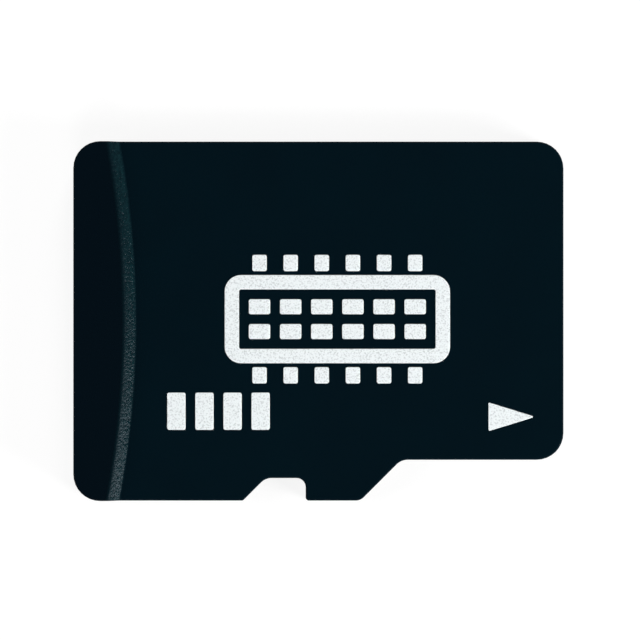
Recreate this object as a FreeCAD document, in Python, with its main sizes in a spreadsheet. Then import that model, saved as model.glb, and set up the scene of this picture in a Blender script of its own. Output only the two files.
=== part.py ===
"""Memory card: moulded case, contact board and the sealed circuit that the case holds.

Frame: +X is the way the card is pushed in, +Y points to its straight long side and +Z points
up out of the label face. The origin is the middle of the underside. Sizes are millimetres.
"""
import FreeCAD, Part
import os
import re
import Sketcher

doc = FreeCAD.newDocument("memory_card")

# Differences below this count as none, in millimetres or cubic millimetres
SAME = 1e-4
CAPACITOR_COUNT = 3
FULL_TURN = 360

# Sizes of the card: alias, value and meaning, one row of the sheet each
SIZES = (
    ("card_length", 15.0, "rear edge to insertion edge"),
    ("card_width", 11.0, "straight side to the side with the notch"),
    ("corner_radius", 0.82, "four outer corners"),
    ("step_depth", 1.25, "how much narrower the front part is"),
    ("step_distance", 4.97, "insertion edge to the head of the side step"),
    ("step_head_radius", 0.5, "inner corner of the side step"),
    ("step_foot_radius", 0.35, "outer corner of the side step"),
    ("notch_distance", 7.9, "insertion edge to the square wall of the latch notch"),
    ("notch_floor", 1.23, "length of the notch floor"),
    ("notch_depth", 0.69, "depth of the notch"),
    ("notch_wall_radius", 0.28, "inner corner at the square wall"),
    ("notch_ramp_radius", 0.46, "inner corner at the ramp"),
    ("notch_lip_radius", 0.1, "both outer corners of the notch"),
    ("card_thickness", 0.7, "thickness under the label"),
    ("grip_thickness", 1.0, "thickness at the finger grip"),
    ("grip_reach", 1.89, "rear edge to the foot of the grip, at mid width"),
    ("grip_slope", 0.34, "plan length of the grip's sloping front"),
    ("grip_arc_radius", 30.0, "bow of the grip's front in plan"),
    ("grip_brow_radius", 0.15, "rounding at the top of the slope"),
    ("grip_foot_radius", 0.08, "rounding at the foot of the slope"),
    ("rim_radius", 0.06, "rounding of the upper rim"),
    ("board_thickness", 0.16, "circuit board"),
    ("contact_length", 2.9, "six short contacts"),
    ("contact_lead", 0.3, "extra length of the supply and ground contacts"),
    ("contact_setback", 1.1, "insertion edge to the short contacts"),
    ("contact_gap", 0.3, "between neighbouring contacts"),
    ("contact_side_margin", 0.625, "side of the card to the outer contacts"),
    ("contact_corner_radius", 0.12, "contact corners"),
    ("contact_thickness", 0.03, "plated copper"),
    ("contact_recess", 0.02, "contact face below the underside"),
    ("film_thickness", 0.015, "die attach films"),
    ("memory_thickness", 0.1, "memory die"),
    ("memory_rear_gap", 3.0, "rear edge of the card to the memory die"),
    ("memory_front_gap", 2.6, "insertion edge to the memory die"),
    ("memory_side_gap", 1.0, "straight side to the memory die"),
    ("memory_step_gap", 0.7, "stepped side to the memory die"),
    ("controller_length", 3.0, "controller die, along the card"),
    ("controller_width", 2.6, "controller die, across the card"),
    ("controller_thickness", 0.08, "controller die"),
    ("controller_setback", 0.35, "memory die edges to the controller die"),
    ("wire_size", 0.025, "bond wire section"),
    ("wire_loop", 0.08, "height of the wire loops over their die"),
    ("wire_inset", 0.08, "die edge to the bonds on it"),
    ("wire_knee", 0.08, "level run of the loops past the memory die"),
    ("wire_row_margin", 0.4, "end of a row of bonds to the corner of its die"),
    ("memory_wire_count", 20, "wires of the memory die"),
    ("controller_rear_count", 10, "wires over the rear edge of the controller die"),
    ("controller_side_count", 12, "wires over the side edge of the controller die"),
    ("finger_gap", 0.25, "memory die to the bond fingers"),
    ("finger_length", 0.3, "bond fingers"),
    ("finger_width", 0.1, "bond fingers"),
    ("copper_thickness", 0.018, "bond fingers and capacitor lands"),
    ("capacitor_length", 1.0, "over both end terminals"),
    ("capacitor_size", 0.5, "width and height"),
    ("capacitor_pitch", 3.0, "between neighbouring capacitors"),
    ("capacitor_rear_gap", 0.65, "rear edge of the card to the capacitors"),
    ("terminal_length", 0.22, "end terminals"),
    ("terminal_wall", 0.02, "metal of the end terminals"),
    ("land_length", 0.3, "capacitor lands, along the capacitor"),
)

sheet = doc.addObject("Spreadsheet::Sheet", "dims")
for row, (alias, value, meaning) in enumerate(SIZES, 1):
    sheet.set(f"A{row}", meaning)
    sheet.set(f"B{row}", str(value))
    sheet.setAlias(f"B{row}", alias)
doc.recompute()

# Contacts in order from the stepped side: node name and whether the contact leads the others
CONTACTS = (
    ("contact_1_data_2", False),
    ("contact_2_data_3", False),
    ("contact_3_command", False),
    ("contact_4_supply", True),
    ("contact_5_clock", False),
    ("contact_6_ground", True),
    ("contact_7_data_0", False),
    ("contact_8_data_1", False),
)

# Places that follow from the sizes, as expressions over the sheet's aliases
REAR = "(-card_length / 2)"
FRONT = "(card_length / 2)"
STRAIGHT_SIDE = "(card_width / 2)"
NOTCH_SIDE = "(-card_width / 2)"
STEPPED_SIDE = f"({NOTCH_SIDE} + step_depth)"
NOTCH_WALL = f"({FRONT} - notch_distance)"
STEP_HEAD = f"({FRONT} - step_distance)"
CONTACT_ROOM = "(card_width - step_depth - 2 * contact_side_margin)"
CONTACT_WIDTH = f"(({CONTACT_ROOM} - {len(CONTACTS) - 1} * contact_gap) / {len(CONTACTS)})"
MEMORY_X = f"({REAR} + memory_rear_gap)"
MEMORY_Y = f"({STEPPED_SIDE} + memory_step_gap)"
MEMORY_LENGTH = "(card_length - memory_rear_gap - memory_front_gap)"
MEMORY_WIDTH = "(card_width - step_depth - memory_side_gap - memory_step_gap)"
MEMORY_EDGE_Y = f"({STRAIGHT_SIDE} - memory_side_gap)"
MEMORY_TOP = "(board_thickness + film_thickness + memory_thickness)"
CONTROLLER_X = f"({MEMORY_X} + controller_setback)"
CONTROLLER_Y = f"({MEMORY_EDGE_Y} - controller_setback - controller_width)"
CONTROLLER_TOP = f"({MEMORY_TOP} + film_thickness + controller_thickness)"
MEMORY_ROW = f"({MEMORY_WIDTH} - controller_setback - controller_width - 2 * wire_row_margin)"
CONTROLLER_REAR_ROW = "(controller_width - 2 * wire_row_margin)"
CONTROLLER_SIDE_ROW = "(controller_length - 2 * wire_row_margin)"
COPPER_TOP = "(board_thickness + copper_thickness)"
CAPACITOR_X = f"({REAR} + capacitor_rear_gap)"

# Outline of the card, counter-clockwise from the rear corner on the notch side: x, y, rounding
OUTLINE = (
    (REAR, NOTCH_SIDE, "corner_radius"),
    (f"{NOTCH_WALL} - notch_floor - notch_depth", NOTCH_SIDE, "notch_lip_radius"),
    (f"{NOTCH_WALL} - notch_floor", f"{NOTCH_SIDE} + notch_depth", "notch_ramp_radius"),
    (NOTCH_WALL, f"{NOTCH_SIDE} + notch_depth", "notch_wall_radius"),
    (NOTCH_WALL, NOTCH_SIDE, "notch_lip_radius"),
    (f"{STEP_HEAD} - step_depth", NOTCH_SIDE, "step_foot_radius"),
    (STEP_HEAD, STEPPED_SIDE, "step_head_radius"),
    (FRONT, STEPPED_SIDE, "corner_radius"),
    (FRONT, STRAIGHT_SIDE, "corner_radius"),
    (REAR, STRAIGHT_SIDE, "corner_radius"),
)


def expression(text):
    """The expression over the aliases, written as the document's expressions name them."""
    return re.sub(r"\b([a-z][a-z_]*)\b", r"dims.\1", text)


def number(text):
    """The present value of an expression over the aliases."""
    return float(sheet.evalExpression(expression(text)))


def bind(target, prop, text):
    """Tie a property to the sheet."""
    target.setExpression(prop, expression(text))


def place(target, x, y, z):
    """Tie the position of a sub-part to the sheet."""
    for axis, text in zip("xyz", (x, y, z)):
        bind(target, f"Placement.Base.{axis}", text)


def origin_feature(body, role):
    """A plane or axis of the body's own origin."""
    return next(item for item in body.Origin.OriginFeatures if item.Role == role)


def new_sketch(body, name, plane, loops):
    """A sketch on an origin plane, with closed loops of straight lines.

    Each loop is a list of corners and each corner a pair of expressions, held by its two
    distances from the sketch's origin.
    """
    sketch = body.newObject("Sketcher::SketchObject", name)
    sketch.AttachmentSupport = [(origin_feature(body, plane), "")]
    sketch.MapMode = "FlatFace"
    for loop in loops:
        points = [FreeCAD.Vector(number(x), number(y), 0) for x, y in loop]
        lines = []
        for start, end in zip(points, points[1:] + points[:1]):
            lines.append(sketch.addGeometry(Part.LineSegment(start, end)))
        for line, following in zip(lines, lines[1:] + lines[:1]):
            sketch.addConstraint(Sketcher.Constraint("Coincident", line, 2, following, 1))
        for line, corner, point in zip(lines, loop, points):
            for kind, text, value in zip(("DistanceX", "DistanceY"), corner, point):
                index = sketch.addConstraint(Sketcher.Constraint(kind, line, 1, value))
                bind(sketch, f"Constraints[{index}]", text)
    return sketch


def rectangle(x, y, length, width):
    """Corners of a rectangle from its least corner and its two sizes."""
    far_x = f"{x} + {length}"
    far_y = f"{y} + {width}"
    return [(x, y), (far_x, y), (far_x, far_y), (x, far_y)]


def new_pad(body, name, sketch, height):
    """A pad of the sketch along its plane's normal."""
    pad = body.newObject("PartDesign::Pad", name)
    pad.Profile = sketch
    bind(pad, "Length", height)
    doc.recompute()
    return pad


def upright_edges(feature, corners):
    """Names of the edges that stand upright over the given corners, pairs of expressions."""
    names = []
    feet = [(number(x), number(y)) for x, y in corners]
    for index, edge in enumerate(feature.Shape.Edges, 1):
        ends = [vertex.Point for vertex in edge.Vertexes]
        for x, y in feet:
            if all(abs(end.x - x) < SAME and abs(end.y - y) < SAME for end in ends):
                names.append(f"Edge{index}")
    return names


def new_fillet(body, name, feature, edges, radius):
    """A rounding of the named edges of the last feature."""
    if not edges:
        raise ValueError(f"{name} finds no edge")
    fillet = body.newObject("PartDesign::Fillet", name)
    fillet.Base = (feature, edges)
    bind(fillet, "Radius", radius)
    doc.recompute()
    return fillet


def outline_body(name, base, height):
    """A plate with the card's outline, its corners rounded, from the level base up."""
    body = doc.addObject("PartDesign::Body", name)
    sketch = new_sketch(body, f"{name}_outline", "XY_Plane", [[(x, y) for x, y, radius in OUTLINE]])
    bind(sketch, "AttachmentOffset.Base.z", base)
    tip = new_pad(body, f"{name}_plate", sketch, height)
    for radius in sorted({radius for x, y, radius in OUTLINE}):
        corners = [(x, y) for x, y, rounding in OUTLINE if rounding == radius]
        tip = new_fillet(body, f"{name}_{radius}", tip, upright_edges(tip, corners), radius)
    return body, tip


def level_circles(feature, level):
    """Names of the wide circular edges that lie level at the given height."""
    names = []
    for index, edge in enumerate(feature.Shape.Edges, 1):
        box = edge.BoundBox
        flat = abs(box.ZMin - level) < SAME and abs(box.ZMax - level) < SAME
        if flat and hasattr(edge.Curve, "Radius") and edge.Curve.Radius > number("grip_arc_radius / 2"):
            names.append(f"Edge{index}")
    return names


def rim_edges(feature, floor):
    """Names of the edges between an upright wall and a face over it, above the level floor."""
    names = []
    for index, edge in enumerate(feature.Shape.Edges, 1):
        if edge.BoundBox.ZMin < floor + SAME:
            continue
        upright = []
        for face in feature.Shape.ancestorsOfType(edge, Part.Face):
            u_min, u_max, v_min, v_max = face.ParameterRange
            normal = face.normalAt((u_min + u_max) / 2, (v_min + v_max) / 2)
            upright.append(abs(normal.z) < SAME)
        if len(upright) == 2 and upright[0] != upright[1]:
            names.append(f"Edge{index}")
    return names


def require_cut(before, after):
    """Stop when a feature that should remove material did not."""
    if after.Shape.Volume > before.Shape.Volume - SAME:
        raise ValueError(f"{after.Label} cuts nothing")


def new_block(name, size, base):
    """A rectangular sub-part from its three sizes and its least corner."""
    block = doc.addObject("Part::Box", name)
    for prop, text in zip(("Length", "Width", "Height"), size):
        bind(block, prop, text)
    place(block, *base)
    return block


def row_body(name, sketch_plane, loop, height, row, count, turn):
    """A row of like pieces along the body's own Y axis, centred on it and turned about Z.

    The loop is the outline of the first piece, in plan or in side view, and the row is the
    distance from the first piece to the last one.
    """
    body = doc.addObject("PartDesign::Body", name)
    sketch = new_sketch(body, f"{name}_outline", sketch_plane, [loop])
    if sketch_plane == "XZ_Plane":
        bind(sketch, "AttachmentOffset.Base.z", f"{row} / 2")
    else:
        bind(sketch, "AttachmentOffset.Base.y", f"-{row} / 2")
    pad = new_pad(body, f"{name}_first", sketch, height)
    pad.Midplane = sketch_plane == "XZ_Plane"
    pattern = body.newObject("PartDesign::LinearPattern", f"{name}_row")
    pattern.Originals = [pad]
    pattern.Direction = (origin_feature(body, "Y_Axis"), [""])
    bind(pattern, "Length", row)
    bind(pattern, "Occurrences", count)
    body.Tip = pattern
    body.Placement.Rotation = FreeCAD.Rotation(FreeCAD.Vector(0, 0, 1), turn)
    return body


def wire_loop(bond, die_top):
    """Side view of a bond wire, outward from the die edge: post, level loop, slope and stitch."""
    loop_top = f"({die_top} + wire_loop)"
    stitch = "(finger_gap + finger_length / 4)"
    stitch_end = "(finger_gap + finger_length * 3 / 4)"
    return [
        (f"{bond} - wire_size / 2", die_top),
        (f"{bond} + wire_size / 2", die_top),
        (f"{bond} + wire_size / 2", f"{loop_top} - wire_size"),
        ("wire_knee", f"{loop_top} - wire_size"),
        (stitch, COPPER_TOP),
        (stitch_end, COPPER_TOP),
        (stitch_end, f"{COPPER_TOP} + wire_size"),
        (f"{stitch} + wire_size / 2", f"{COPPER_TOP} + wire_size"),
        ("wire_knee + wire_size / 2", loop_top),
        (f"{bond} - wire_size / 2", loop_top),
    ]


# Moulded case: outline plate, grip cut to a bowed slope, soft edges
blank, tip = outline_body("moulded_blank", "board_thickness", "grip_thickness - board_thickness")
brow = "(grip_arc_radius - grip_slope)"
beyond = "(grip_arc_radius + card_length)"
above = "(grip_thickness + card_thickness)"
label_profile = [
    ("grip_arc_radius", "card_thickness"),
    (beyond, "card_thickness"),
    (beyond, above),
    (brow, above),
    (brow, "grip_thickness"),
]
label_sketch = new_sketch(blank, "label_profile", "XZ_Plane", [label_profile])
bind(label_sketch, "AttachmentOffset.Base.x", f"{REAR} + grip_reach - grip_arc_radius")
label_floor = blank.newObject("PartDesign::Groove", "label_floor")
label_floor.Profile = label_sketch
label_floor.ReferenceAxis = (label_sketch, ["V_Axis"])
label_floor.Angle = FULL_TURN
doc.recompute()
require_cut(tip, label_floor)
tip = label_floor
for name, level, radius in (
    ("grip_brow", "grip_thickness", "grip_brow_radius"),
    ("grip_foot", "card_thickness", "grip_foot_radius"),
):
    tip = new_fillet(blank, name, tip, level_circles(tip, number(level)), radius)
edges = rim_edges(tip, number("board_thickness"))
blank.Tip = new_fillet(blank, "upper_rim", tip, edges, "rim_radius")

# Circuit board with eight windows in its underside for the contacts
board, tip = outline_body("circuit_board", "0", "board_thickness")
contact_places = []
for index, (name, leads) in enumerate(CONTACTS):
    length = "(contact_length + contact_lead)" if leads else "contact_length"
    x = f"({FRONT} - contact_setback - contact_length)"
    y = f"({STEPPED_SIDE} + contact_side_margin + {index} * ({CONTACT_WIDTH} + contact_gap))"
    contact_places.append((name, x, y, length))
windows = [rectangle(x, y, length, CONTACT_WIDTH) for name, x, y, length in contact_places]
window_sketch = new_sketch(board, "contact_window_outlines", "XY_Plane", windows)
contact_windows = board.newObject("PartDesign::Pocket", "contact_windows")
contact_windows.Profile = window_sketch
contact_windows.Reversed = True
bind(contact_windows, "Length", "contact_recess + contact_thickness")
doc.recompute()
require_cut(tip, contact_windows)
edges = upright_edges(contact_windows, [corner for loop in windows for corner in loop])
board.Tip = new_fillet(board, "window_corners", contact_windows, edges, "contact_corner_radius")

# Contacts, each made about its own least corner and placed in its window
contacts = []
for name, x, y, length in contact_places:
    contact = doc.addObject("PartDesign::Body", name)
    face = rectangle("0", "0", length, CONTACT_WIDTH)
    sketch = new_sketch(contact, f"{name}_face", "XY_Plane", [face])
    plate = new_pad(contact, f"{name}_plate", sketch, "contact_thickness")
    edges = upright_edges(plate, face)
    contact.Tip = new_fillet(contact, f"{name}_corners", plate, edges, "contact_corner_radius")
    place(contact, x, y, "contact_recess")
    contacts.append(contact)

# Memory die and controller die, each on its attach film
memory_size = (MEMORY_LENGTH, MEMORY_WIDTH)
controller_size = ("controller_length", "controller_width")
memory_film = new_block(
    "memory_die_film", (*memory_size, "film_thickness"), (MEMORY_X, MEMORY_Y, "board_thickness")
)
memory_die = new_block(
    "memory_die", (*memory_size, "memory_thickness"), (MEMORY_X, MEMORY_Y, "board_thickness + film_thickness")
)
controller_film = new_block(
    "controller_die_film", (*controller_size, "film_thickness"), (CONTROLLER_X, CONTROLLER_Y, MEMORY_TOP)
)
controller_die = new_block(
    "controller_die",
    (*controller_size, "controller_thickness"),
    (CONTROLLER_X, CONTROLLER_Y, f"{MEMORY_TOP} + film_thickness"),
)
dies = [memory_film, memory_die, controller_film, controller_die]

# Bond fingers and bond wires, in rows that face the rear edge or the straight side
rear_memory_centre = (MEMORY_X, f"{MEMORY_Y} + wire_row_margin + {MEMORY_ROW} / 2")
rear_controller_centre = (MEMORY_X, f"{CONTROLLER_Y} + controller_width / 2")
side_controller_centre = (f"{CONTROLLER_X} + controller_length / 2", MEMORY_EDGE_Y)
memory_bond = "(-wire_inset)"
controller_bond = "(-controller_setback - wire_inset)"
finger_face = rectangle("finger_gap", "(-finger_width / 2)", "finger_length", "finger_width")
bonds = []
for fingers_name, wires_name, bond, die_top, row, count, centre, turn in (
    ("memory_bond_fingers", "memory_bond_wires", memory_bond, MEMORY_TOP,
     MEMORY_ROW, "memory_wire_count", rear_memory_centre, 180),
    ("controller_rear_fingers", "controller_rear_wires", controller_bond, CONTROLLER_TOP,
     CONTROLLER_REAR_ROW, "controller_rear_count", rear_controller_centre, 180),
    ("controller_side_fingers", "controller_side_wires", controller_bond, CONTROLLER_TOP,
     CONTROLLER_SIDE_ROW, "controller_side_count", side_controller_centre, 90),
):
    fingers = row_body(fingers_name, "XY_Plane", finger_face, "copper_thickness", row, count, turn)
    place(fingers, *centre, "board_thickness")
    wires = row_body(wires_name, "XZ_Plane", wire_loop(bond, die_top), "wire_size", row, count, turn)
    place(wires, *centre, "0")
    bonds += [fingers, wires]

# Supply capacitors under the grip: ceramic blocks, hollow end terminals and copper lands
lands = doc.addObject("PartDesign::Body", "capacitor_lands")
land_faces = []
capacitors = []
for index in range(CAPACITOR_COUNT):
    name = f"capacitor_{index + 1}"
    y = f"({index - (CAPACITOR_COUNT - 1) / 2} * capacitor_pitch - capacitor_length / 2)"
    far_y = f"({y} + capacitor_length)"
    ceramic_size = "(capacitor_size - 2 * terminal_wall)"
    ceramic = new_block(
        name,
        (ceramic_size, "capacitor_length - 2 * terminal_wall", ceramic_size),
        (f"{CAPACITOR_X} + terminal_wall", f"{y} + terminal_wall", f"{COPPER_TOP} + terminal_wall"),
    )
    ends = []
    for side, end_y in (("near", y), ("far", f"{far_y} - terminal_length")):
        end_size = ("capacitor_size", "terminal_length", "capacitor_size")
        ends.append(new_block(f"{name}_{side}_end", end_size, (CAPACITOR_X, end_y, COPPER_TOP)))
    end_pair = doc.addObject("Part::MultiFuse", f"{name}_end_pair")
    end_pair.Shapes = ends
    terminals = doc.addObject("Part::Cut", f"{name}_terminals")
    terminals.Base = end_pair
    terminals.Tool = ceramic
    capacitors += [ceramic, terminals]
    land_faces.append(rectangle(CAPACITOR_X, y, "capacitor_size", "land_length"))
    land_faces.append(rectangle(CAPACITOR_X, f"({far_y} - land_length)", "capacitor_size", "land_length"))
land_sketch = new_sketch(lands, "capacitor_land_faces", "XY_Plane", land_faces)
bind(land_sketch, "AttachmentOffset.Base.z", "board_thickness")
lands.Tip = new_pad(lands, "capacitor_land_plates", land_sketch, "copper_thickness")

# The moulding compound fills the case round every piece on the board
encased = dies + bonds + capacitors + [lands]
circuit = doc.addObject("Part::MultiFuse", "encased_circuit")
circuit.Shapes = encased
moulded_body = doc.addObject("Part::Cut", "moulded_body")
moulded_body.Base = blank
moulded_body.Tool = circuit
doc.recompute()
require_cut(blank, moulded_body)

for item in doc.Objects:
    if "Invalid" in item.State or "Error" in item.State:
        raise ValueError(f"{item.Label} is not built: {item.State}")

os.makedirs("parts", exist_ok=True)
for node in [moulded_body, board] + contacts + encased:
    if node.Shape.isNull() or not node.Shape.isValid():
        raise ValueError(f"{node.Label} has no valid shape")
    node.Shape.exportStep(f"parts/{node.Label}.step")
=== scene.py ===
"""Looks of a memory card: moulded case, white print, contact board, sealed circuit and stage.

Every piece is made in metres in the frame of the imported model: +X is the way the card is pushed
in, +Y points to its straight long side and +Z points out of the label face.
"""
import math

import bmesh
import bpy
import numpy as np
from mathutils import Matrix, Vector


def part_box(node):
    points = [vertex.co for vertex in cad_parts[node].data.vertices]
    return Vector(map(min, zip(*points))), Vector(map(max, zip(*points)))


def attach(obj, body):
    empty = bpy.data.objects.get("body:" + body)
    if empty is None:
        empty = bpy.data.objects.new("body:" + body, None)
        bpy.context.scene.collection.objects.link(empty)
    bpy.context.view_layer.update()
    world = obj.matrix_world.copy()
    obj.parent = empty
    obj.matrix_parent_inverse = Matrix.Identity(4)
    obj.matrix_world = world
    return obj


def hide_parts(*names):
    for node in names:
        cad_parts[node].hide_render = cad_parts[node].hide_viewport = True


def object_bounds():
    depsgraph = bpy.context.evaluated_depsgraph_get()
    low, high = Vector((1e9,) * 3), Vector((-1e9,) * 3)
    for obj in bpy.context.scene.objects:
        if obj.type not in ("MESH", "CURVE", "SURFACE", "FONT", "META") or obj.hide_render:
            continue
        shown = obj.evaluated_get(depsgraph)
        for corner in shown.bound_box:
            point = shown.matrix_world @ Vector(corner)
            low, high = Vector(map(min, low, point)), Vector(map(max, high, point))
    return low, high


bl_info = {
    "name": "Memory card",
    "version": (1, 0, 0),
    "blender": (4, 5, 0),
    "location": "View3D > Sidebar > Memory card",
    "description": "Dresses the packed model of a memory card and sets up its stage",
    "category": "Object",
}

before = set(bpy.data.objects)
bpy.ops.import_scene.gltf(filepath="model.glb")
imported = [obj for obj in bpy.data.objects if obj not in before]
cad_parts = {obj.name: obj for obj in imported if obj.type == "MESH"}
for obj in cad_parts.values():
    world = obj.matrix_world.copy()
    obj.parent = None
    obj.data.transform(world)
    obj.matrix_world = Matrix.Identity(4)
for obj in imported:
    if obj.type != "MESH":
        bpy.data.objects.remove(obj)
CAD_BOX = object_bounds()
CASE_LOW, CASE_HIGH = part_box("moulded_body")

MM = 0.001
BODY = "root"
PICTURE_SIDE = 640
SENSOR_WIDTH = 36.0

# Samples of the case surface: a corner arc, the rim's rounding, a column from side to side, and
# the columns behind the grip's brow
ARC_STEPS = 9
RIM_STEPS = 7
SIDE_STEPS = 65
REAR_COLUMNS = 8

# Way from the notch side to the straight side, as shares
SIDE_SHARES = np.linspace(0, 1, SIDE_STEPS)

# What a move across the card counts against one along it, where a side is divided
ACROSS_WEIGHT = 0.25

# Points nearer than this are one point, and edges sharper than this stay sharp
MERGE_DISTANCE = 1e-8
SHARP_ANGLE = math.radians(35)

# Range that holds most of a noise, and upward part of a normal between a wall and a slope
NOISE_RANGE = (0.3, 0.7)
LEVEL_RANGE = (0.4, 0.6)

# Softness of the edge of a track, as a share of its half width, and of the horizon
TRACK_SOFTNESS = 0.2
HORIZON_SOFTNESS = 0.05

# Sockets of a mix node that mixes colours: its share, its two colours and its result
MIX_SHARE = 0
MIX_FIRST = 6
MIX_SECOND = 7
MIX_RESULT = 2

WHITE = (1, 1, 1)

# Plated metal, over the width of a streak: its length, the size of clouds and the relief
STREAK_STRETCH = 20.0
STREAK_CLOUD = 12.0
STREAK_DEPTH = 0.15

# Plated metal: tint of worn places, and roughness of smooth and dull streaks, as shares
WORN_TINT = 0.6
STREAK_ROUGHNESS = (0.75, 1.3)

# Plated metals: roughness, and width of a streak in millimetres
METALS = {
    "contact_gold": (0.3, 0.025),
    "bond_gold": (0.25, 0.01),
    "finger_gold": (0.4, 0.02),
    "terminal_tin": (0.45, 0.02),
    "land_copper": (0.4, 0.02),
}

# Dull bodies: tint of the deep patches, and relief over the size of a patch
DEEP_TINT = 0.7
PATCH_DEPTH = 0.02

# Dull bodies: roughness, size of a patch in millimetres, and how far the body is metal
MINERALS = {
    "silicon": (0.25, 0.2, 1.0),
    "attach_film": (0.5, 0.1, 0.0),
    "ceramic": (0.6, 0.05, 0.0),
}

# Low soft lamps round the card: turn from +X and rise in degrees, and light on the label
LAMPS = {
    "lamp_front": (-24, 12, 0.40),
    "lamp_notch_side": (-95, 28, 0.20),
    "lamp_straight_side": (80, 28, 0.26),
    "lamp_rear": (180, 28, 0.17),
}


def nodes_named(ending):
    """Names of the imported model's nodes that end in a word."""
    return sorted(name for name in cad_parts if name.endswith(ending))


CONTACT_NODES = sorted(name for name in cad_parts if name.startswith("contact_"))
CERAMIC_NODES = ["capacitor_1", "capacitor_2", "capacitor_3"]


def length(name, millimetres, description):
    """A length that a user may change, given in millimetres and kept in metres."""
    return bpy.props.FloatProperty(
        name=name, description=description, default=millimetres * MM, unit="LENGTH", precision=6
    )


def number(name, default, description):
    """A plain number that a user may change."""
    return bpy.props.FloatProperty(name=name, description=description, default=default)


def whole_number(name, default, description):
    """A number of like things that a user may change."""
    return bpy.props.IntProperty(name=name, description=description, default=default, min=1)


def colour(name, default, description):
    """A linear colour that a user may change."""
    return bpy.props.FloatVectorProperty(
        name=name, description=description, default=default, size=3, min=0, max=1, subtype="COLOR"
    )


class CardForm(bpy.types.PropertyGroup):
    """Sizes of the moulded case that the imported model's boxes don't give."""

    corner_radius: length("Corner radius", 0.82, "Four outer corners in plan")
    step_depth: length("Step depth", 1.25, "How much narrower the front part is")
    step_distance: length("Step distance", 4.97, "Insertion edge to the head of the step")
    step_head_radius: length("Step head radius", 0.5, "Inner corner of the step")
    step_foot_radius: length("Step foot radius", 0.35, "Outer corner of the step")
    notch_distance: length("Notch distance", 7.9, "Insertion edge to the notch's square wall")
    notch_floor: length("Notch floor", 1.23, "Length of the notch's floor")
    notch_depth: length("Notch depth", 0.69, "Depth of the notch")
    notch_wall_radius: length("Notch wall radius", 0.28, "Inner corner at the square wall")
    notch_ramp_radius: length("Notch ramp radius", 0.46, "Inner corner at the ramp")
    notch_lip_radius: length("Notch lip radius", 0.1, "Outer corners of the notch")
    label_height: length("Label height", 0.7, "Label face over the underside")
    grip_reach: length("Grip reach", 1.89, "Rear edge to the foot of the grip at mid width")
    grip_slope: length("Grip slope", 0.34, "Plan length of the grip's sloping front")
    grip_arc_radius: length("Grip arc radius", 30.0, "Bow of the grip's front in plan")
    grip_brow_radius: length("Grip brow radius", 0.15, "Rounding at the top of the slope")
    grip_foot_radius: length("Grip foot radius", 0.08, "Rounding at the foot of the slope")
    rim_radius: length("Rim radius", 0.06, "Rounding of the upper rim")
    wall: length("Wall", 0.35, "Side walls round the circuit")
    roof: length("Roof", 0.22, "Moulding over the circuit")
    support: length("Support", 0.02, "Narrow strip beside a rounding that keeps flats flat")


class CardPrint(bpy.types.PropertyGroup):
    """Sizes and places of the white print on the label face."""

    thickness: length("Ink thickness", 0.012, "Height of the ink over the label")
    corner: length("Ink corner", 0.06, "Rounding of the printed corners")
    bevel: length("Ink bevel", 0.008, "Bevel at the edge of the ink")
    arrow_base: length("Arrow base", 5.2, "Place of the arrow's base along the card")
    arrow_tip: length("Arrow tip", 6.63, "Place of the arrow's tip along the card")
    arrow_middle: length("Arrow middle", -2.93, "Place of the arrow across the card")
    arrow_half: length("Arrow half height", 0.44, "Half the height of the arrow's base")
    chip_x: length("Chip mark X", 0.57, "Middle of the chip mark along the card")
    chip_y: length("Chip mark Y", 0.06, "Middle of the chip mark across the card")
    chip_length: length("Chip mark length", 6.9, "Frame of the chip mark, along the card")
    chip_width: length("Chip mark width", 2.7, "Frame of the chip mark, across the card")
    chip_columns: whole_number("Chip columns", 6, "Cells of the chip mark along the card, and its pins")
    chip_rows: whole_number("Chip rows", 2, "Cells of the chip mark across the card")
    stroke: length("Stroke", 0.44, "Width of the frame and of the pins")
    pin_length: length("Pin length", 0.5, "Pins of the chip mark")
    pin_gap: length("Pin gap", 0.12, "Pins to the frame")
    cell_gap: length("Cell gap", 0.3, "Between the cells in the frame")
    block_x: length("Blocks X", -4.64, "Start of the row of blocks along the card")
    block_y: length("Blocks Y", -3.33, "Lower edge of the row of blocks")
    block_width: length("Block width", 0.56, "One block, along the card")
    block_height: length("Block height", 1.14, "One block, across the card")
    block_gap: length("Block gap", 0.3, "Between the blocks")
    block_count: whole_number("Block count", 4, "Blocks in the row")


class CardTracks(bpy.types.PropertyGroup):
    """Copper tracks that show through the lacquer of the underside."""

    width: length("Track width", 0.12, "Tracks that serve the contacts")
    bend: length("Bend", 2.6, "Place along the card where those tracks turn aside")
    shift: length("Shift", 1.2, "How far the tracks move aside at a bend")
    nearest_end: length("Nearest end", 0.4, "Front limit of the places where those tracks end")
    farthest_end: length("Farthest end", -5.4, "Rear limit of the places where those tracks end")
    via_radius: length("Via radius", 0.15, "Plated hole at the end of a track")
    fine_pitch: length("Fine pitch", 0.24, "Between the tracks under the dies")
    fine_width: length("Fine width", 0.08, "Tracks under the dies")
    fine_length: length("Fine length", 2.3, "Stretch after which fine tracks stop or go on")
    fine_bend: length("Fine bend", -1.2, "Place along the card where the fine tracks turn aside")
    fine_front: length("Fine front", 1.6, "Front limit of the fine tracks")
    fine_gaps: number("Fine gaps", 0.55, "Share of the fine tracks that is left out")
    fine_show: number("Fine show", 0.7, "How far the fine tracks show, as a share of the others")
    edge_margin: length("Edge margin", 0.6, "Strip along the card's edges that has no tracks")


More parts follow.
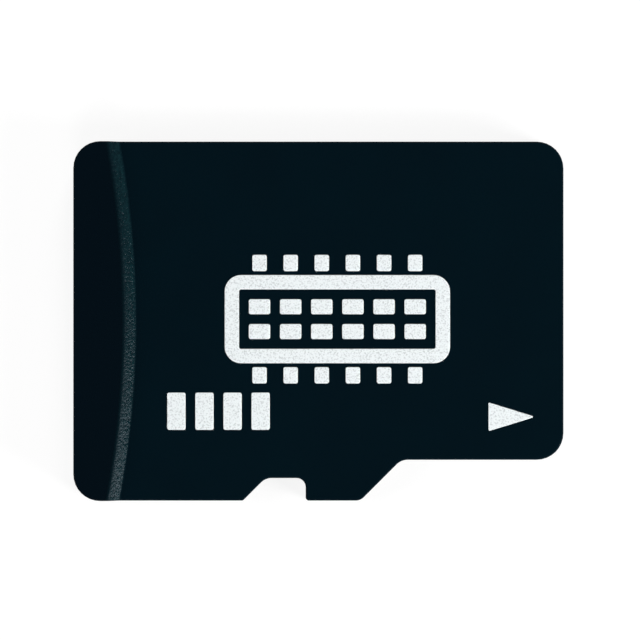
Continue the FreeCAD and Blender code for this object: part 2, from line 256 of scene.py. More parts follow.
class CardSurface(bpy.types.PropertyGroup):
    """Grain, relief and roughness of the finishes that show."""

    cloud: length("Cloud", 1.8, "Broad patches in the black of the moulding")
    cloud_share: number("Cloud share", 0.25, "How far those patches darken the label")
    fine_grain: length("Fine grain", 0.045, "Grain of the label, the grip and the walls")
    fine_depth: length("Fine depth", 0.0025, "Depth of the fine grain")
    coarse_grain: length("Coarse grain", 0.09, "Grain of the grip's slope")
    coarse_depth: length("Coarse depth", 0.025, "Depth of the coarse grain")
    # Painted shade: share of the slope's colour left in the hollows of its coarse grain, and at the top
    # of the slope
    hollow_painted_shade: number("Coarse shade", 0.35, "Share of the slope's colour in its hollows")
    brow_painted_shade: number("Brow shade", 0.6, "Share of the slope's colour at its top")
    moulding_rough: number("Moulding roughness", 0.54, "Label, grip and walls")
    brow_rough: number("Brow roughness", 0.3, "Top of the slope")
    foot_rough: number("Foot roughness", 0.12, "Foot of the slope")
    rough_spread: number("Roughness spread", 0.04, "How far single grains differ in roughness")
    moulding_gloss: number("Moulding gloss", 0.03, "Specular level of the moulding")
    ink_grain: length("Ink grain", 0.05, "Specks in the print")
    ink_depth: length("Ink depth", 0.004, "Depth of the specks")
    ink_rough: number("Ink roughness", 0.55, "White print")
    speck_level: number("Speck level", 0.43, "Noise under which the ink is thin")
    speck_softness: number("Speck softness", 0.07, "Half the width of the edge of a speck")
    weave: length("Weave", 0.06, "Glass weave of the board")
    weave_depth: length("Weave depth", 0.002, "Relief of the weave")
    track_depth: length("Track depth", 0.008, "Height of the tracks under the lacquer")
    lacquer_rough: number("Lacquer roughness", 0.42, "Underside")
    laminate_rough: number("Laminate roughness", 0.7, "Cut edge of the board")
    lacquer_gloss: number("Lacquer gloss", 0.1, "Specular level of the underside")


class CardColours(bpy.types.PropertyGroup):
    """Linear colours of the finishes."""

    label: colour("Label black", (0.0, 0.0044, 0.0077), "Lacquered label face")
    grip: colour("Grip black", (0.0, 0.0022, 0.0045), "Smooth moulding of the grip")
    slope: colour("Slope grey", (0.0031, 0.0159, 0.0195), "Rough moulding of the grip's slope")
    gloss: colour("Moulding gloss", (0.70, 0.87, 1.0), "Cool tint of the moulding's reflections")
    ink: colour("Ink white", (0.86, 0.91, 0.92), "White print")
    ink_speck: colour("Ink speck", (0.62, 0.66, 0.67), "Thin places in the print")
    lacquer: colour("Board lacquer", (0.006, 0.013, 0.013), "Lacquer on the underside")
    covered_copper: colour("Covered copper", (0.016, 0.030, 0.024), "Lacquer over a track")
    laminate: colour("Laminate", (0.060, 0.052, 0.030), "Cut edge of the board")
    gold: colour("Gold", (0.86, 0.57, 0.20), "Plated contacts")
    silicon: colour("Silicon", (0.12, 0.13, 0.17), "Polished dies")
    film: colour("Attach film", (0.36, 0.27, 0.12), "Film under the dies")
    ceramic: colour("Ceramic", (0.33, 0.22, 0.14), "Capacitor bodies")
    tin: colour("Tin", (0.62, 0.61, 0.58), "Capacitor terminals")
    copper: colour("Copper", (0.72, 0.35, 0.20), "Capacitor lands")


class CardStage(bpy.types.PropertyGroup):
    """Floor, lamps and camera."""

    floor_half: length("Floor half width", 600.0, "Half the width of the floor")
    floor_drop: length("Floor drop", 0.02, "Gap between the card and the floor")
    floor_colour: colour("Floor colour", (0.22, 0.22, 0.22), "Share of the light that shows the shadow")
    floor_glow: number("Floor glow", 0.84, "Pale ground that the floor shows where it is seen")
    overhead: number("Overhead light", 0.03, "Dim light from above the horizon")
    underneath: number("Underneath light", 0.7, "Pale light from straight below")
    lamp_distance: length("Lamp distance", 140.0, "Lamps to the card")
    lamp_size: length("Lamp size", 60.0, "Side of a lamp")
    lens: number("Lens", 200.0, "Focal length in millimetres")
    scale: number("Scale", 32.65, "Pixels of the picture for a millimetre of the label")
    middle_x: number("Middle X", 318.7, "Pixel column of the card's middle")
    middle_y: number("Middle Y", 321.1, "Pixel row of the card's middle")


# Lines and surfaces

def corner_arc(before, corner, after, radius):
    """Arc that rounds a corner: the first tangent point's spoke, turned by the corner's angle."""
    first = (corner - before) / np.linalg.norm(corner - before)
    second = (after - corner) / np.linalg.norm(after - corner)
    turn = math.atan2(first[0] * second[1] - first[1] * second[0], first @ second)
    inward = math.copysign(1, turn) * np.array([-first[1], first[0]])
    centre = corner - first * radius * math.tan(abs(turn) / 2) + inward * radius
    spoke = -inward * radius
    angle = np.linspace(0, turn, ARC_STEPS)
    x = spoke[0] * np.cos(angle) - spoke[1] * np.sin(angle)
    y = spoke[0] * np.sin(angle) + spoke[1] * np.cos(angle)
    return centre + np.column_stack([x, y])


def corner_arcs(corners, radii, inset=0.0):
    """One arc for each corner of a counter-clockwise loop moved inwards by the inset.

    A corner moves along the sum of its two inward normals. An outer corner's radius shrinks by
    the inset, and an inner corner's grows by it.
    """
    corners = np.asarray(corners, float)
    legs = np.roll(corners, -1, axis=0) - corners
    legs /= np.linalg.norm(legs, axis=1, keepdims=True)
    came = np.roll(legs, 1, axis=0)
    normals = np.column_stack([-legs[:, 1], legs[:, 0]])
    last_normals = np.roll(normals, 1, axis=0)
    share = 1 + np.sum(normals * last_normals, axis=1, keepdims=True)
    moved = corners + inset * (normals + last_normals) / share
    turn = np.sign(came[:, 0] * legs[:, 1] - came[:, 1] * legs[:, 0])
    rounded = np.asarray(radii) - turn * inset
    before, after = np.roll(moved, 1, axis=0), np.roll(moved, -1, axis=0)
    return [corner_arc(*corner) for corner in zip(before, moved, after, rounded)]


def card_corners(form):
    """Corners and radii of the outline, counter-clockwise from the rear corner near the notch."""
    rear, front = CASE_LOW.x, CASE_HIGH.x
    low, high = CASE_LOW.y, CASE_HIGH.y
    notch_front = front - form.notch_distance
    notch_rear = notch_front - form.notch_floor
    notch_top = low + form.notch_depth
    step_head = front - form.step_distance
    corners = [
        (rear, low),
        (notch_rear - form.notch_depth, low),
        (notch_rear, notch_top),
        (notch_front, notch_top),
        (notch_front, low),
        (step_head - form.step_depth, low),
        (step_head, low + form.step_depth),
        (front, low + form.step_depth),
        (front, high),
        (rear, high),
    ]
    radii = [
        form.corner_radius,
        form.notch_lip_radius,
        form.notch_ramp_radius,
        form.notch_wall_radius,
        form.notch_lip_radius,
        form.step_foot_radius,
        form.step_head_radius,
        form.corner_radius,
        form.corner_radius,
        form.corner_radius,
    ]
    return corners, radii


def grip_centre(form):
    """Place along the card of the centre of the grip's arcs."""
    return CASE_LOW.x + form.grip_reach - form.grip_arc_radius


def grip_profile(form):
    """Distance from the grip's centre and height, from the grip's top down its slope to the label.

    Two levels joined by a straight slope, with an arc at its brow and an arc at its foot.
    """
    foot = np.array([form.grip_arc_radius, form.label_height])
    brow = np.array([form.grip_arc_radius - form.grip_slope, CASE_HIGH.z])
    level = np.array([form.grip_slope, 0.0])
    brow_arc = corner_arc(brow - level, brow, foot, form.grip_brow_radius)
    foot_arc = corner_arc(brow, foot, foot + level, form.grip_foot_radius)
    strip = np.array([[form.support, 0.0]])
    return np.concatenate([brow_arc[:1] - strip, brow_arc, foot_arc, foot_arc[-1:] + strip])


def slope_columns(form, inset):
    """Columns down the grip's slope: an arc about the grip's centre for each point of its profile."""
    low, high = CASE_LOW.y + inset, CASE_HIGH.y - inset
    y = low + (high - low) * SIDE_SHARES
    x = grip_centre(form) + np.sqrt(grip_profile(form)[:, :1] ** 2 - y**2)
    return np.stack([x, np.broadcast_to(y, x.shape)], axis=-1)


def grip_columns(rear_low, rear_high, brow):
    """Columns over the grip: the rear edge and its corners, blended in equal steps into the brow."""
    edge_share = np.linspace(0, 1, SIDE_STEPS - 2 * (ARC_STEPS - 1))[1:-1, None]
    rear_edge = rear_low[0] + (rear_high[-1] - rear_low[0]) * edge_share
    rear = np.concatenate([rear_low[::-1], rear_edge, rear_high[::-1]])
    blend = np.linspace(0, 1, REAR_COLUMNS, endpoint=False)[:, None, None]
    return rear + (brow - rear) * blend


def label_columns(notch_arcs, front_corner, foot):
    """Columns over the label: lines between its two sides, bowed as the foot, less so forwards.

    The notch side has the points of its arcs, and the straight side is divided in step with them.
    """
    notch_side = np.concatenate([foot[:1], *notch_arcs])
    run = notch_side[: 1 - ARC_STEPS]
    pace = np.abs(np.diff(run, axis=0)) @ np.array([1.0, ACROSS_WEIGHT])
    progress = np.concatenate([[0], np.cumsum(pace)]) / pace.sum()
    straight_run = foot[-1] + (front_corner[0] - foot[-1]) * progress[:, None]
    straight_side = np.concatenate([straight_run, front_corner[1:]])
    fade = np.concatenate([1 - progress, np.zeros(ARC_STEPS - 1)])
    columns = notch_side[:, None] + (straight_side - notch_side)[:, None] * SIDE_SHARES[:, None]
    columns[..., 0] += fade[:, None] * (foot[:, 0] - foot[0, 0])
    return columns[1:]


def card_columns(form, inset):
    """Grid over the card's plan, and the height of each of its columns.

    Columns run from the notch side to the straight side: first over the grip from its rear edge,
    then down its slope, and then over the label to the insertion edge.
    """
    rear_low, *notch_arcs, front_high, rear_high = corner_arcs(*card_corners(form), inset)
    slope = slope_columns(form, inset)
    grip = grip_columns(rear_low, rear_high, brow=slope[0])
    label = label_columns(notch_arcs, front_high[::-1], foot=slope[-1])
    heights = [
        np.full(len(grip), CASE_HIGH.z),
        grip_profile(form)[:, 1],
        np.full(len(label), form.label_height),
    ]
    return np.concatenate([grip, slope, label]), np.concatenate(heights)


def border(grid):
    """Values round the border of a grid, counter-clockwise in plan."""
    return np.concatenate([grid[:-1, 0], grid[-1, :-1], grid[:0:-1, -1], grid[0, :0:-1]])


def card_ring(form, inset, drop=None):
    """The outline moved inwards, at its columns' heights less the drop, or at the board's level."""
    columns, heights = card_columns(form, inset)
    plan = border(columns)
    if drop is None:
        level = np.full(len(plan), CASE_LOW.z)
    else:
        level = border(np.repeat(heights[:, None], SIDE_STEPS, axis=1)) - drop
    return np.column_stack([plan, level])


def card_sheet(form, inset, drop):
    """Sheet over the plan moved inwards, at its columns' heights less the drop."""
    columns, heights = card_columns(form, inset)
    level = np.broadcast_to((heights - drop)[:, None, None], (*columns.shape[:2], 1))
    return np.concatenate([columns, level], axis=2)


def case_rings(form):
    """Section of the wall carried round the outline.

    It goes down the inner wall, out along the board, up the outer wall and over the rim, which is
    a quarter of a circle.
    """
    angle = np.linspace(0, math.pi / 2, RIM_STEPS)
    insets = form.rim_radius * (1 - np.cos(angle))
    drops = form.rim_radius * (1 - np.sin(angle))
    rings = [
        card_ring(form, form.wall, form.roof),
        card_ring(form, form.wall),
        card_ring(form, 0.0),
        card_ring(form, 0.0, form.rim_radius + form.support),
    ]
    rings += [card_ring(form, inset, drop) for inset, drop in zip(insets, drops)]
    rings.append(card_ring(form, form.rim_radius + form.support, 0.0))
    return np.array(rings)


def box_corners(x, y, size_x, size_y):
    """Corners of a rectangle from its least corner and its sizes, counter-clockwise."""
    return [(x, y), (x + size_x, y), (x + size_x, y + size_y), (x, y + size_y)]


def lifted(loop, level):
    """A plan loop at a level."""
    return np.column_stack([loop, np.full(len(loop), level)])


def ink_patch(corners, radius, level, ink):
    """Patch of ink with rounded corners: rings that shrink to its middle below it and above it."""
    loop = np.concatenate(corner_arcs(corners, [radius] * len(corners)))
    top_loop = np.concatenate(corner_arcs(corners, [radius] * len(corners), ink.bevel))
    middle = np.broadcast_to(loop.mean(axis=0), loop.shape)
    top = level + ink.thickness
    rings = [
        lifted(middle, level),
        lifted(loop, level),
        lifted(loop, top - ink.bevel),
        lifted(top_loop, top),
        lifted(middle, top),
    ]
    return np.array(rings)


def ink_band(corners, radius, width, level, ink):
    """Band of ink inside a rounded outline: the corners of its section carried round."""
    insets = [width, 0.0, 0.0, ink.bevel, width - ink.bevel, width, width]
    low, high = level + ink.thickness - ink.bevel, level + ink.thickness
    levels = [level, level, low, high, high, low, level]
    loops = [np.concatenate(corner_arcs(corners, [radius] * len(corners), inset)) for inset in insets]
    return np.array([lifted(loop, height) for loop, height in zip(loops, levels)])


# Meshes

def grid_faces(rows, columns, closed):
    """Quads between neighbouring rows and columns of a grid whose rows may close on themselves."""
    row = np.arange(rows - 1)[:, None] * columns
    column = np.arange(columns if closed else columns - 1)
    following = (column + 1) % columns
    corners = [row + column, row + following, row + columns + following, row + columns + column]
    return np.stack(corners, axis=-1).reshape(-1, 4)


def new_mesh(name, rings=(), sheets=()):
    """One mesh from grids whose rows close on themselves and from open grids."""
    points, faces, count = [], [], 0
    for grid, closed in [(grid, True) for grid in rings] + [(grid, False) for grid in sheets]:
        rows, columns = grid.shape[:2]
        points.append(grid.reshape(-1, 3))
        faces.append(grid_faces(rows, columns, closed) + count)
        count += rows * columns
    mesh = bpy.data.meshes.new(name)
    mesh.from_pydata(np.concatenate(points), [], np.concatenate(faces).tolist())
    return mesh


def new_piece(name, mesh, material, slot, *replaced):
    """A finished piece of the card from a mesh whose grids meet at their edges."""
    shell = bmesh.new()
    shell.from_mesh(mesh)
    bmesh.ops.remove_doubles(shell, verts=shell.verts, dist=MERGE_DISTANCE)
    bmesh.ops.dissolve_degenerate(shell, edges=shell.edges, dist=MERGE_DISTANCE)
    shell.to_mesh(mesh)
    shell.free()
    mesh.shade_smooth()
    mesh.set_sharp_from_angle(angle=SHARP_ANGLE)
    mesh.materials.append(material)
    piece = bpy.data.objects.new(name, mesh)
    bpy.context.scene.collection.objects.link(piece)
    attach(piece, BODY)
    if replaced:
        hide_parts(*replaced)


def dress(names, material):
    """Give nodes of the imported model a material."""
    for name in names:
        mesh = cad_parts[name].data
        mesh.materials.clear()
        mesh.materials.append(material)


# Finishes

class Nodes:
    """A node tree under construction, with short ways to add what the finishes share."""

    def __init__(self, owner):
        owner.use_nodes = True
        self.tree = owner.node_tree
        self.tree.nodes.clear()

    def add(self, kind, inputs=None, **settings):
        """A node with its settings, and its inputs set to values or linked from sockets."""
        made = self.tree.nodes.new(kind)
        for name, value in settings.items():
            setattr(made, name, value)
        self.feed(made, inputs or {})
        return made

    def feed(self, made, inputs):
        """Set inputs of a node to values, with opaque colours, or link them from sockets."""
        for name, value in inputs.items():
            socket = made.inputs[name]
            if isinstance(value, bpy.types.NodeSocket):
                self.tree.links.new(value, socket)
            elif socket.type == "RGBA":
                socket.default_value = (*value, 1)
            else:
                socket.default_value = value

    def math(self, operation, *values):
        """A sum over numbers or sockets."""
        return self.add("ShaderNodeMath", dict(enumerate(values)), operation=operation).outputs[0]

    def ramp(self, value, low, high, first=0.0, second=1.0):
        """A straight ramp from one range to another, held level beyond its ends."""
        inputs = {"Value": value, "From Min": low, "From Max": high, "To Min": first, "To Max": second}
        return self.add("ShaderNodeMapRange", inputs).outputs["Result"]

    def mix(self, share, first, second):
        """A colour between two colours or sockets."""
        inputs = {MIX_SHARE: share, MIX_FIRST: first, MIX_SECOND: second}
        return self.add("ShaderNodeMix", inputs, data_type="RGBA").outputs[MIX_RESULT]

    def axes(self, vector):
        """The three parts of a vector."""
        return self.add("ShaderNodeSeparateXYZ", {0: vector}).outputs

    def seen(self):
        """1 to the camera, in reflections and through clear pieces, 0 as light."""
        rays = self.add("ShaderNodeLightPath").outputs
        seen = self.math("MAXIMUM", rays["Is Camera Ray"], rays["Is Glossy Ray"])
        return self.math("MAXIMUM", seen, rays["Is Transmission Ray"])


class Finish(Nodes):
    """A material under construction: a principled shader and patterns on object coordinates."""

    def __init__(self, name):
        self.material = bpy.data.materials.new(name)
        super().__init__(self.material)
        self.shader = self.add("ShaderNodeBsdfPrincipled")
        self.add("ShaderNodeOutputMaterial", {"Surface": self.shader.outputs[0]})
        self.place = self.add("ShaderNodeTexCoord").outputs["Object"]

    def grain(self, size, detail=2.0, stretch=1.0):
        """Noise with patches of about the given size, stretched along the card."""
        inputs = {"Vector": self.place, "Scale": (1 / stretch, 1, 1)}
        place = self.add("ShaderNodeMapping", inputs).outputs[0]
        inputs = {"Vector": place, "Scale": 1 / size, "Detail": detail}
        return self.add("ShaderNodeTexNoise", inputs).outputs["Fac"]

    def spread(self, noise, first, second):
        """A noise carried over to the range between two values."""
        return self.ramp(noise, *NOISE_RANGE, first, second)

    def distance(self, x, y):
        """Length of a line in plan: the root of the sum of the squares of its two parts."""
        square = self.math("ADD", self.math("POWER", x, 2.0), self.math("POWER", y, 2.0))
        return self.math("SQRT", square)

    def within(self, away, limit):
        """1 nearer than a limit and 0 beyond it, with a soft edge."""
        return self.ramp(away, limit * (1 - TRACK_SOFTNESS), limit * (1 + TRACK_SOFTNESS), 1.0, 0.0)

    def level(self):
        """1 where the surface is level or slopes, 0 where it is upright."""
        normal = self.add("ShaderNodeNewGeometry").outputs["Normal"]
        return self.ramp(self.math("ABSOLUTE", self.axes(normal)["Z"]), *LEVEL_RANGE)

    def finished(self, inputs, height, depth):
        """The material with its shader's inputs set and a relief of the given depth."""
        bump = self.add("ShaderNodeBump", {"Height": height, "Distance": depth})
        self.feed(self.shader, inputs)
        self.feed(self.shader, {"Normal": bump.outputs["Normal"]})
        return self.material


def moulding_finish(form, surface, colours):
    """Matt near-black moulding with a fine grain, and a coarse shiny grain on the grip's slope with
    painted shade in its hollows and at the slope's top, and painted glints on its crests.
    """
    finish = Finish("moulding")
    x, y, _ = finish.axes(finish.place)
    radius = finish.distance(finish.math("SUBTRACT", x, grip_centre(form)), y)
    brow, foot = form.grip_arc_radius - form.grip_slope, form.grip_arc_radius
    soft = form.grip_foot_radius
    past_brow = finish.ramp(radius, brow - soft, brow + soft)
    past_foot = finish.ramp(radius, foot - soft / 2, foot + soft / 2)
    slope = finish.math("MULTIPLY", finish.math("SUBTRACT", past_brow, past_foot), finish.level())

    cloud = finish.spread(finish.grain(surface.cloud), 0.0, surface.cloud_share)
    fine = finish.grain(surface.fine_grain)
    coarse = finish.grain(surface.coarse_grain)
    ground = finish.mix(past_foot, colours.grip, colours.label)
    ground = finish.mix(cloud, ground, colours.grip)
    # Painted shade and glints: the slope's colour is darker in the hollows of its coarse grain, lighter
    # on its crests, and darker towards the top of the slope
    slope_share_painted_shade_and_glint = finish.math("MULTIPLY", slope, finish.spread(coarse, surface.hollow_painted_shade, 1.0))
    slope_share_painted_shade_and_glint = finish.math("MULTIPLY", slope_share_painted_shade_and_glint, finish.ramp(radius, brow, foot, surface.brow_painted_shade, 1.0))
    matt, vary = surface.moulding_rough, surface.rough_spread
    rough = finish.spread(coarse, matt - vary, matt + vary)
    shinier = finish.ramp(radius, brow, foot, surface.brow_rough - matt, surface.foot_rough - matt)
    fine_share = surface.fine_depth / surface.coarse_depth
    height = finish.math("MULTIPLY_ADD", slope, coarse, finish.math("MULTIPLY", fine, fine_share))
    inputs = {
        "Base Color": finish.mix(slope_share_painted_shade_and_glint, ground, colours.slope),
        "Roughness": finish.math("MULTIPLY_ADD", slope, shinier, rough),
        "Specular IOR Level": surface.moulding_gloss,
        "Specular Tint": colours.gloss,
    }
    return finish.finished(inputs, height, surface.coarse_depth)


def ink_finish(surface, colours):
    """Screen-printed white ink, thinner in fine specks."""
    finish = Finish("label_ink")
    speck = finish.grain(surface.ink_grain, detail=4.0)
    level, soft = surface.speck_level, surface.speck_softness
    thick = finish.ramp(speck, level - soft, level + soft)
    shade = finish.mix(thick, colours.ink_speck, colours.ink)
    inputs = {"Base Color": shade, "Roughness": surface.ink_rough}
    return finish.finished(inputs, speck, surface.ink_depth)


def track_lines(finish, across, width, pitch):
    """Lines at whole numbers of the pitch: their mask, their number and the distance to the nearest."""
    nearest = finish.math("ROUND", across)
    away = finish.math("ABSOLUTE", finish.math("SUBTRACT", across, nearest))
    return finish.within(away, width / pitch / 2), nearest, away


def contact_tracks(finish, x, y, tracks):
    """Tracks that run back from the contacts, turn aside and end by chance in plated holes."""
    first, second = (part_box(name) for name in CONTACT_NODES[:2])
    pitch = second[0].y - first[0].y
    middle = (first[0].y + first[1].y) / 2
    aside = finish.ramp(x, tracks.bend - tracks.shift, tracks.bend, tracks.shift, 0.0)
    moved = finish.math("SUBTRACT", finish.math("ADD", y, aside), middle)
    across = finish.math("DIVIDE", moved, pitch)
    lines, index, away = track_lines(finish, across, tracks.width, pitch)
    chance = finish.add("ShaderNodeTexWhiteNoise", {"W": index}, noise_dimensions="1D").outputs["Value"]
    end = finish.ramp(chance, 0.0, 1.0, tracks.farthest_end, tracks.nearest_end)
    past_end = finish.math("SUBTRACT", x, end)
    served = finish.math("MULTIPLY", lines, finish.math("GREATER_THAN", past_end, 0.0))
    offset = finish.math("MULTIPLY", away, pitch)
    via = finish.within(finish.distance(past_end, offset), tracks.via_radius)
    return finish.math("MAXIMUM", served, via)


def fine_tracks(finish, x, y, tracks):
    """Narrow tracks under the dies that turn aside, with stretches left out by chance."""
    aside = finish.ramp(x, tracks.fine_bend - tracks.shift, tracks.fine_bend, tracks.shift, 0.0)
    across = finish.math("DIVIDE", finish.math("SUBTRACT", y, aside), tracks.fine_pitch)
    lines, index, _ = track_lines(finish, across, tracks.fine_width, tracks.fine_pitch)
    stretch = finish.math("FLOOR", finish.math("DIVIDE", x, tracks.fine_length))
    cell = finish.add("ShaderNodeCombineXYZ", {"X": index, "Y": stretch}).outputs[0]
    chance = finish.add("ShaderNodeTexWhiteNoise", {"Vector": cell}).outputs["Value"]
    laid = finish.math("GREATER_THAN", chance, tracks.fine_gaps)
    behind = finish.math("LESS_THAN", x, tracks.fine_front)
    return finish.math("MULTIPLY", lines, finish.math("MULTIPLY", laid, behind))


def board_finish(tracks, surface, colours):
    """Dark lacquer over faint copper tracks on the underside, bare laminate on the cut edge."""
    finish = Finish("board_lacquer")
    x, y, _ = finish.axes(finish.place)
    faint = finish.math("MULTIPLY", fine_tracks(finish, x, y, tracks), tracks.fine_show)
    copper = finish.math("MAXIMUM", contact_tracks(finish, x, y, tracks), faint)
    from_middle = finish.math("ABSOLUTE", y)
    within_sides = finish.math("LESS_THAN", from_middle, CASE_HIGH.y - tracks.edge_margin)
    within_rear = finish.math("GREATER_THAN", x, CASE_LOW.x + tracks.edge_margin)
    copper = finish.math("MULTIPLY", copper, finish.math("MULTIPLY", within_sides, within_rear))
    level = finish.level()
    weave = finish.grain(surface.weave)
    cut = finish.mix(weave, colours.laminate, colours.lacquer)
    face = finish.mix(copper, colours.lacquer, colours.covered_copper)
    inputs = {
        "Base Color": finish.mix(level, cut, face),
        "Roughness": finish.ramp(level, 0.0, 1.0, surface.laminate_rough, surface.lacquer_rough),
        "Specular IOR Level": surface.lacquer_gloss,
    }
    height = finish.math("MULTIPLY_ADD", weave, surface.weave_depth / surface.track_depth, copper)
    return finish.finished(inputs, height, surface.track_depth)


def metal_finish(name, tint):
    """Plated metal of the table of metals, with fine streaks along the card."""
    finish = Finish(name)
    roughness, streak_width = METALS[name]
    streak = streak_width * MM
    scratch = finish.grain(streak, detail=3.0, stretch=STREAK_STRETCH)
    cloud = finish.grain(STREAK_CLOUD * streak)
    worn = [channel * WORN_TINT for channel in tint]
    shade = finish.mix(finish.math("MULTIPLY", scratch, cloud), tint, worn)
    smooth, dull = (roughness * share for share in STREAK_ROUGHNESS)
    inputs = {"Base Color": shade, "Roughness": finish.spread(scratch, smooth, dull), "Metallic": 1.0}
    return finish.finished(inputs, scratch, streak * STREAK_DEPTH)


def mineral_finish(name, tint):
    """A dull body of the table of minerals, whose tint varies in patches."""
    finish = Finish(name)
    roughness, patch_size, metallic = MINERALS[name]
    size = patch_size * MM
    patch = finish.grain(size, detail=4.0)
    deep = [channel * DEEP_TINT for channel in tint]
    inputs = {"Base Color": finish.mix(patch, tint, deep), "Roughness": roughness, "Metallic": metallic}
    return finish.finished(inputs, patch, size * PATCH_DEPTH)


# Operators

class CARD_OT_moulded_case(bpy.types.Operator):
    """Build the moulded case with its grip, step and latch notch"""

    bl_idname = "memory_card.moulded_case"
    bl_label = "Moulded case"

    def execute(self, context):
        form = context.scene.card_form
        top = card_sheet(form, form.rim_radius + form.support, 0.0)
        cavity = card_sheet(form, form.wall, form.roof)
        mesh = new_mesh("moulded_case", [case_rings(form)], [top.swapaxes(0, 1), cavity])
        material = moulding_finish(form, context.scene.card_surface, context.scene.card_colours)
        new_piece("moulded_case", mesh, material, "moulding", "moulded_body")
        return {"FINISHED"}


class CARD_OT_label_print(bpy.types.Operator):
    """Print the arrow, a plain chip mark and a row of blocks on the label face"""

    bl_idname = "memory_card.label_print"
    bl_label = "Label print"

    def execute(self, context):
        ink = context.scene.card_print
        level = context.scene.card_form.label_height
        material = ink_finish(context.scene.card_surface, context.scene.card_colours)
        marks = {
            "print_arrow": self.arrow,
            "print_chip_mark": self.chip_mark,
            "print_blocks": self.blocks,
        }
        for name, make in marks.items():
            new_piece(name, new_mesh(name, make(ink, level)), material, "label_ink")
        return {"FINISHED"}

    def arrow(self, ink, level):
        """A triangle that points to the insertion edge."""
        low, high = ink.arrow_middle - ink.arrow_half, ink.arrow_middle + ink.arrow_half
        corners = [(ink.arrow_base, low), (ink.arrow_tip, ink.arrow_middle), (ink.arrow_base, high)]
        return [ink_patch(corners, ink.corner / 2, level, ink)]

    def chip_mark(self, ink, level):
        """A frame with rows of cells in it and a row of pins along each long side."""
        x, y = ink.chip_x - ink.chip_length / 2, ink.chip_y - ink.chip_width / 2
        body = box_corners(x, y, ink.chip_length, ink.chip_width)
        grids = [ink_band(body, ink.stroke + ink.corner, ink.stroke, level, ink)]
        columns, rows = ink.chip_columns, ink.chip_rows
        margin = ink.stroke + ink.cell_gap
        cell_x = (ink.chip_length - 2 * margin - (columns - 1) * ink.cell_gap) / columns
        cell_y = (ink.chip_width - 2 * margin - (rows - 1) * ink.cell_gap) / rows
        for column in range(columns):
            left = x + margin + column * (cell_x + ink.cell_gap)
            for row in range(rows):
                bottom = y + margin + row * (cell_y + ink.cell_gap)
                cell = box_corners(left, bottom, cell_x, cell_y)
                grids.append(ink_patch(cell, ink.corner, level, ink))
            pin_left = left + (cell_x - ink.stroke) / 2
            for bottom in (y - ink.pin_gap - ink.pin_length, y + ink.chip_width + ink.pin_gap):
                pin = box_corners(pin_left, bottom, ink.stroke, ink.pin_length)
                grids.append(ink_patch(pin, ink.corner, level, ink))
        return grids

    def blocks(self, ink, level):
        """A row of equal upright blocks."""
        pitch = ink.block_width + ink.block_gap
        places = [ink.block_x + index * pitch for index in range(ink.block_count)]
        boxes = [box_corners(x, ink.block_y, ink.block_width, ink.block_height) for x in places]
        return [ink_patch(box, ink.corner, level, ink) for box in boxes]


class CARD_OT_contact_board(bpy.types.Operator):
    """Finish the circuit board and its gold contacts"""

    bl_idname = "memory_card.contact_board"
    bl_label = "Contact board"

    def execute(self, context):
        scene = context.scene
        lacquer = board_finish(scene.card_tracks, scene.card_surface, scene.card_colours)
        dress(["circuit_board"], lacquer)
        dress(CONTACT_NODES, metal_finish("contact_gold", scene.card_colours.gold))
        return {"FINISHED"}


class CARD_OT_sealed_circuit(bpy.types.Operator):
    """Finish the dies, wires and capacitors that the case holds"""

    bl_idname = "memory_card.sealed_circuit"
    bl_label = "Sealed circuit"

    def execute(self, context):
        colours = context.scene.card_colours
        dress(nodes_named("_die"), mineral_finish("silicon", colours.silicon))
        dress(nodes_named("_film"), mineral_finish("attach_film", colours.film))
        dress(CERAMIC_NODES, mineral_finish("ceramic", colours.ceramic))
        dress(nodes_named("_wires"), metal_finish("bond_gold", colours.gold))
        dress(nodes_named("_fingers"), metal_finish("finger_gold", colours.gold))
        dress(nodes_named("_terminals"), metal_finish("terminal_tin", colours.tin))
        dress(nodes_named("_lands"), metal_finish("land_copper", colours.copper))
        return {"FINISHED"}


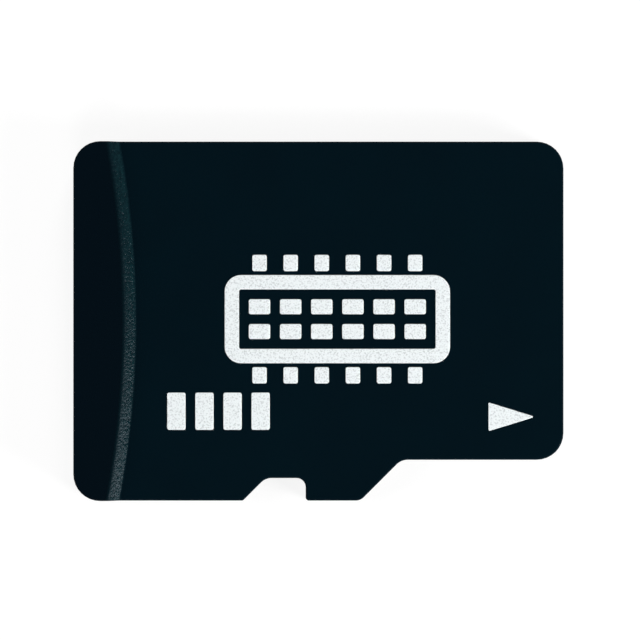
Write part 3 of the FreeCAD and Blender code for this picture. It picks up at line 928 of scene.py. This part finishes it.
class CARD_OT_stage(bpy.types.Operator):
    """Set up the pale floor, the world, the lamps and the camera over the label"""

    bl_idname = "memory_card.stage"
    bl_label = "Stage"

    def execute(self, context):
        stage = context.scene.card_stage
        self.floor(stage)
        self.world(stage)
        self.lamps(stage)
        self.camera(stage)
        context.scene.view_settings.view_transform = "Standard"
        return {"FINISHED"}

    def floor(self, stage):
        """A wide sheet just under the card, pale where it is seen from above and clear otherwise."""
        side = np.array([-stage.floor_half, stage.floor_half])
        level = np.full((2, 2), CAD_BOX[0].z - stage.floor_drop)
        mesh = new_mesh("floor", sheets=[np.stack([*np.meshgrid(side, side), level], axis=-1)])
        material = bpy.data.materials.new("pale_floor")
        nodes = Nodes(material)
        back = nodes.add("ShaderNodeNewGeometry").outputs["Backfacing"]
        shown = nodes.math("SUBTRACT", nodes.seen(), back)
        lit = nodes.add("ShaderNodeBsdfDiffuse", {"Color": stage.floor_colour}).outputs[0]
        inputs = {"Color": WHITE, "Strength": stage.floor_glow}
        glow = nodes.add("ShaderNodeEmission", inputs).outputs[0]
        pale = nodes.add("ShaderNodeAddShader", {0: lit, 1: glow}).outputs[0]
        clear = nodes.add("ShaderNodeBsdfTransparent").outputs[0]
        surface = nodes.add("ShaderNodeMixShader", {0: shown, 1: clear, 2: pale}).outputs[0]
        nodes.add("ShaderNodeOutputMaterial", {"Surface": surface})
        mesh.materials.append(material)
        floor = bpy.data.objects.new("floor", mesh)
        bpy.context.scene.collection.objects.link(floor)

    def world(self, stage):
        """Dim overhead and pale below the horizon, as light, and white where it is seen."""
        world = bpy.data.worlds.new("studio")
        nodes = Nodes(world)
        direction = nodes.add("ShaderNodeTexCoord").outputs["Generated"]
        up = nodes.axes(direction)["Z"]
        below = nodes.ramp(up, -1.0, 0.0, stage.underneath, 1.0)
        ceiling = nodes.ramp(up, -HORIZON_SOFTNESS, HORIZON_SOFTNESS)
        light = nodes.ramp(ceiling, 0.0, 1.0, below, stage.overhead)
        inputs = {"Color": WHITE, "Strength": nodes.math("MAXIMUM", light, nodes.seen())}
        surface = nodes.add("ShaderNodeBackground", inputs).outputs[0]
        nodes.add("ShaderNodeOutputWorld", {"Surface": surface})
        bpy.context.scene.world = world

    def lamps(self, stage):
        """Lamps that light the label as much as the table of lamps says."""
        for name, (turn, rise, light) in LAMPS.items():
            turn, rise = math.radians(turn), math.radians(rise)
            data = bpy.data.lights.new(name, "AREA")
            data.size = stage.lamp_size
            data.energy = light * math.pi**2 * stage.lamp_distance**2 / math.sin(rise)
            lamp = bpy.data.objects.new(name, data)
            toward = (math.cos(turn) * math.cos(rise), math.sin(turn) * math.cos(rise), math.sin(rise))
            lamp.location = np.array(toward) * stage.lamp_distance
            lamp.rotation_euler = lamp.location.to_track_quat("Z", "Y").to_euler()
            lamp.visible_camera = False
            bpy.context.scene.collection.objects.link(lamp)

    def camera(self, stage):
        """Straight down on the label, at the scale and place of the picture's frame."""
        data = bpy.data.cameras.new("camera")
        data.lens = stage.lens
        data.sensor_width = SENSOR_WIDTH
        data.clip_start = MM
        scale = stage.scale / MM
        camera = bpy.data.objects.new("camera", data)
        camera.location = (
            (PICTURE_SIDE / 2 - stage.middle_x) / scale,
            (stage.middle_y - PICTURE_SIDE / 2) / scale,
            bpy.context.scene.card_form.label_height + stage.lens / SENSOR_WIDTH * PICTURE_SIDE / scale,
        )
        bpy.context.scene.collection.objects.link(camera)
        bpy.context.scene.camera = camera


class CARD_PT_panel(bpy.types.Panel):
    """Lists the pieces of the card and the stage"""

    bl_idname = "CARD_PT_panel"
    bl_label = "Memory card"
    bl_space_type = "VIEW_3D"
    bl_region_type = "UI"
    bl_category = "Memory card"

    def draw(self, context):
        for operator in OPERATORS:
            self.layout.operator(operator.bl_idname)


GROUPS = {
    "card_form": CardForm,
    "card_print": CardPrint,
    "card_tracks": CardTracks,
    "card_surface": CardSurface,
    "card_colours": CardColours,
    "card_stage": CardStage,
}
OPERATORS = (
    CARD_OT_moulded_case,
    CARD_OT_label_print,
    CARD_OT_contact_board,
    CARD_OT_sealed_circuit,
    CARD_OT_stage,
)
CLASSES = (*GROUPS.values(), *OPERATORS, CARD_PT_panel)


def register():
    for item in CLASSES:
        bpy.utils.register_class(item)
    for name, group in GROUPS.items():
        setattr(bpy.types.Scene, name, bpy.props.PointerProperty(type=group))


def unregister():
    for name in GROUPS:
        delattr(bpy.types.Scene, name)
    for item in reversed(CLASSES):
        bpy.utils.unregister_class(item)


def main():
    register()
    bpy.ops.memory_card.moulded_case()
    bpy.ops.memory_card.label_print()
    bpy.ops.memory_card.contact_board()
    bpy.ops.memory_card.sealed_circuit()
    bpy.ops.memory_card.stage()


if __name__ == "__main__":
    main()
